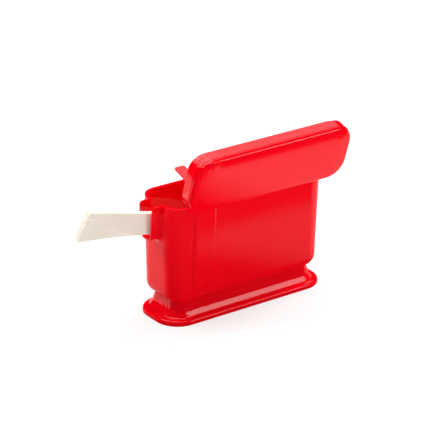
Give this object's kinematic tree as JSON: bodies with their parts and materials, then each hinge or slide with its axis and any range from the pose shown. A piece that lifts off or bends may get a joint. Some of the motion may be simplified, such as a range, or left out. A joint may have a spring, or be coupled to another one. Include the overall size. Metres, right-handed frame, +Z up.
{
  "type": "footed table container with hinged lid and server",
  "caption": "Narrow glossy plastic table container on a flared foot, with a long hinged lid standing open and a flat-handled server resting in an end channel.",
  "frame": {"origin": "middle of the foot's underside, on the table", "axes": "+X along the body away from the server's channel, +Y away from the hinge side, +Z up"},
  "size_m": [0.1656, 0.0606, 0.1115],
  "materials": {
    "shell_plastic": "glossy saturated red, moulded",
    "server_plastic": "satin cream, moulded",
    "pin_metal": "plain drawn wire"
  },
  "bodies": {
    "root": {"body_shell": "shell_plastic", "foot": "shell_plastic", "hinge_bar": "shell_plastic", "hinge_bracket": "shell_plastic", "hinge_pins": "pin_metal"},
    "lid": {"lid": "shell_plastic"},
    "server": {"server": "server_plastic"}
  },
  "joints": [
    {"name": "lid_hinge", "type": "hinge", "parent": "root", "child": "lid", "pos_m": [0, -0.02168, 0.07325], "axis": [1, 0, 0], "range_deg": [-106.7, 0]},
    {"name": "server_slide", "type": "slide", "parent": "root", "child": "server", "axis": [-0.9455, 0, 0.3256], "range_m": [0, 0.1]}
  ]
}
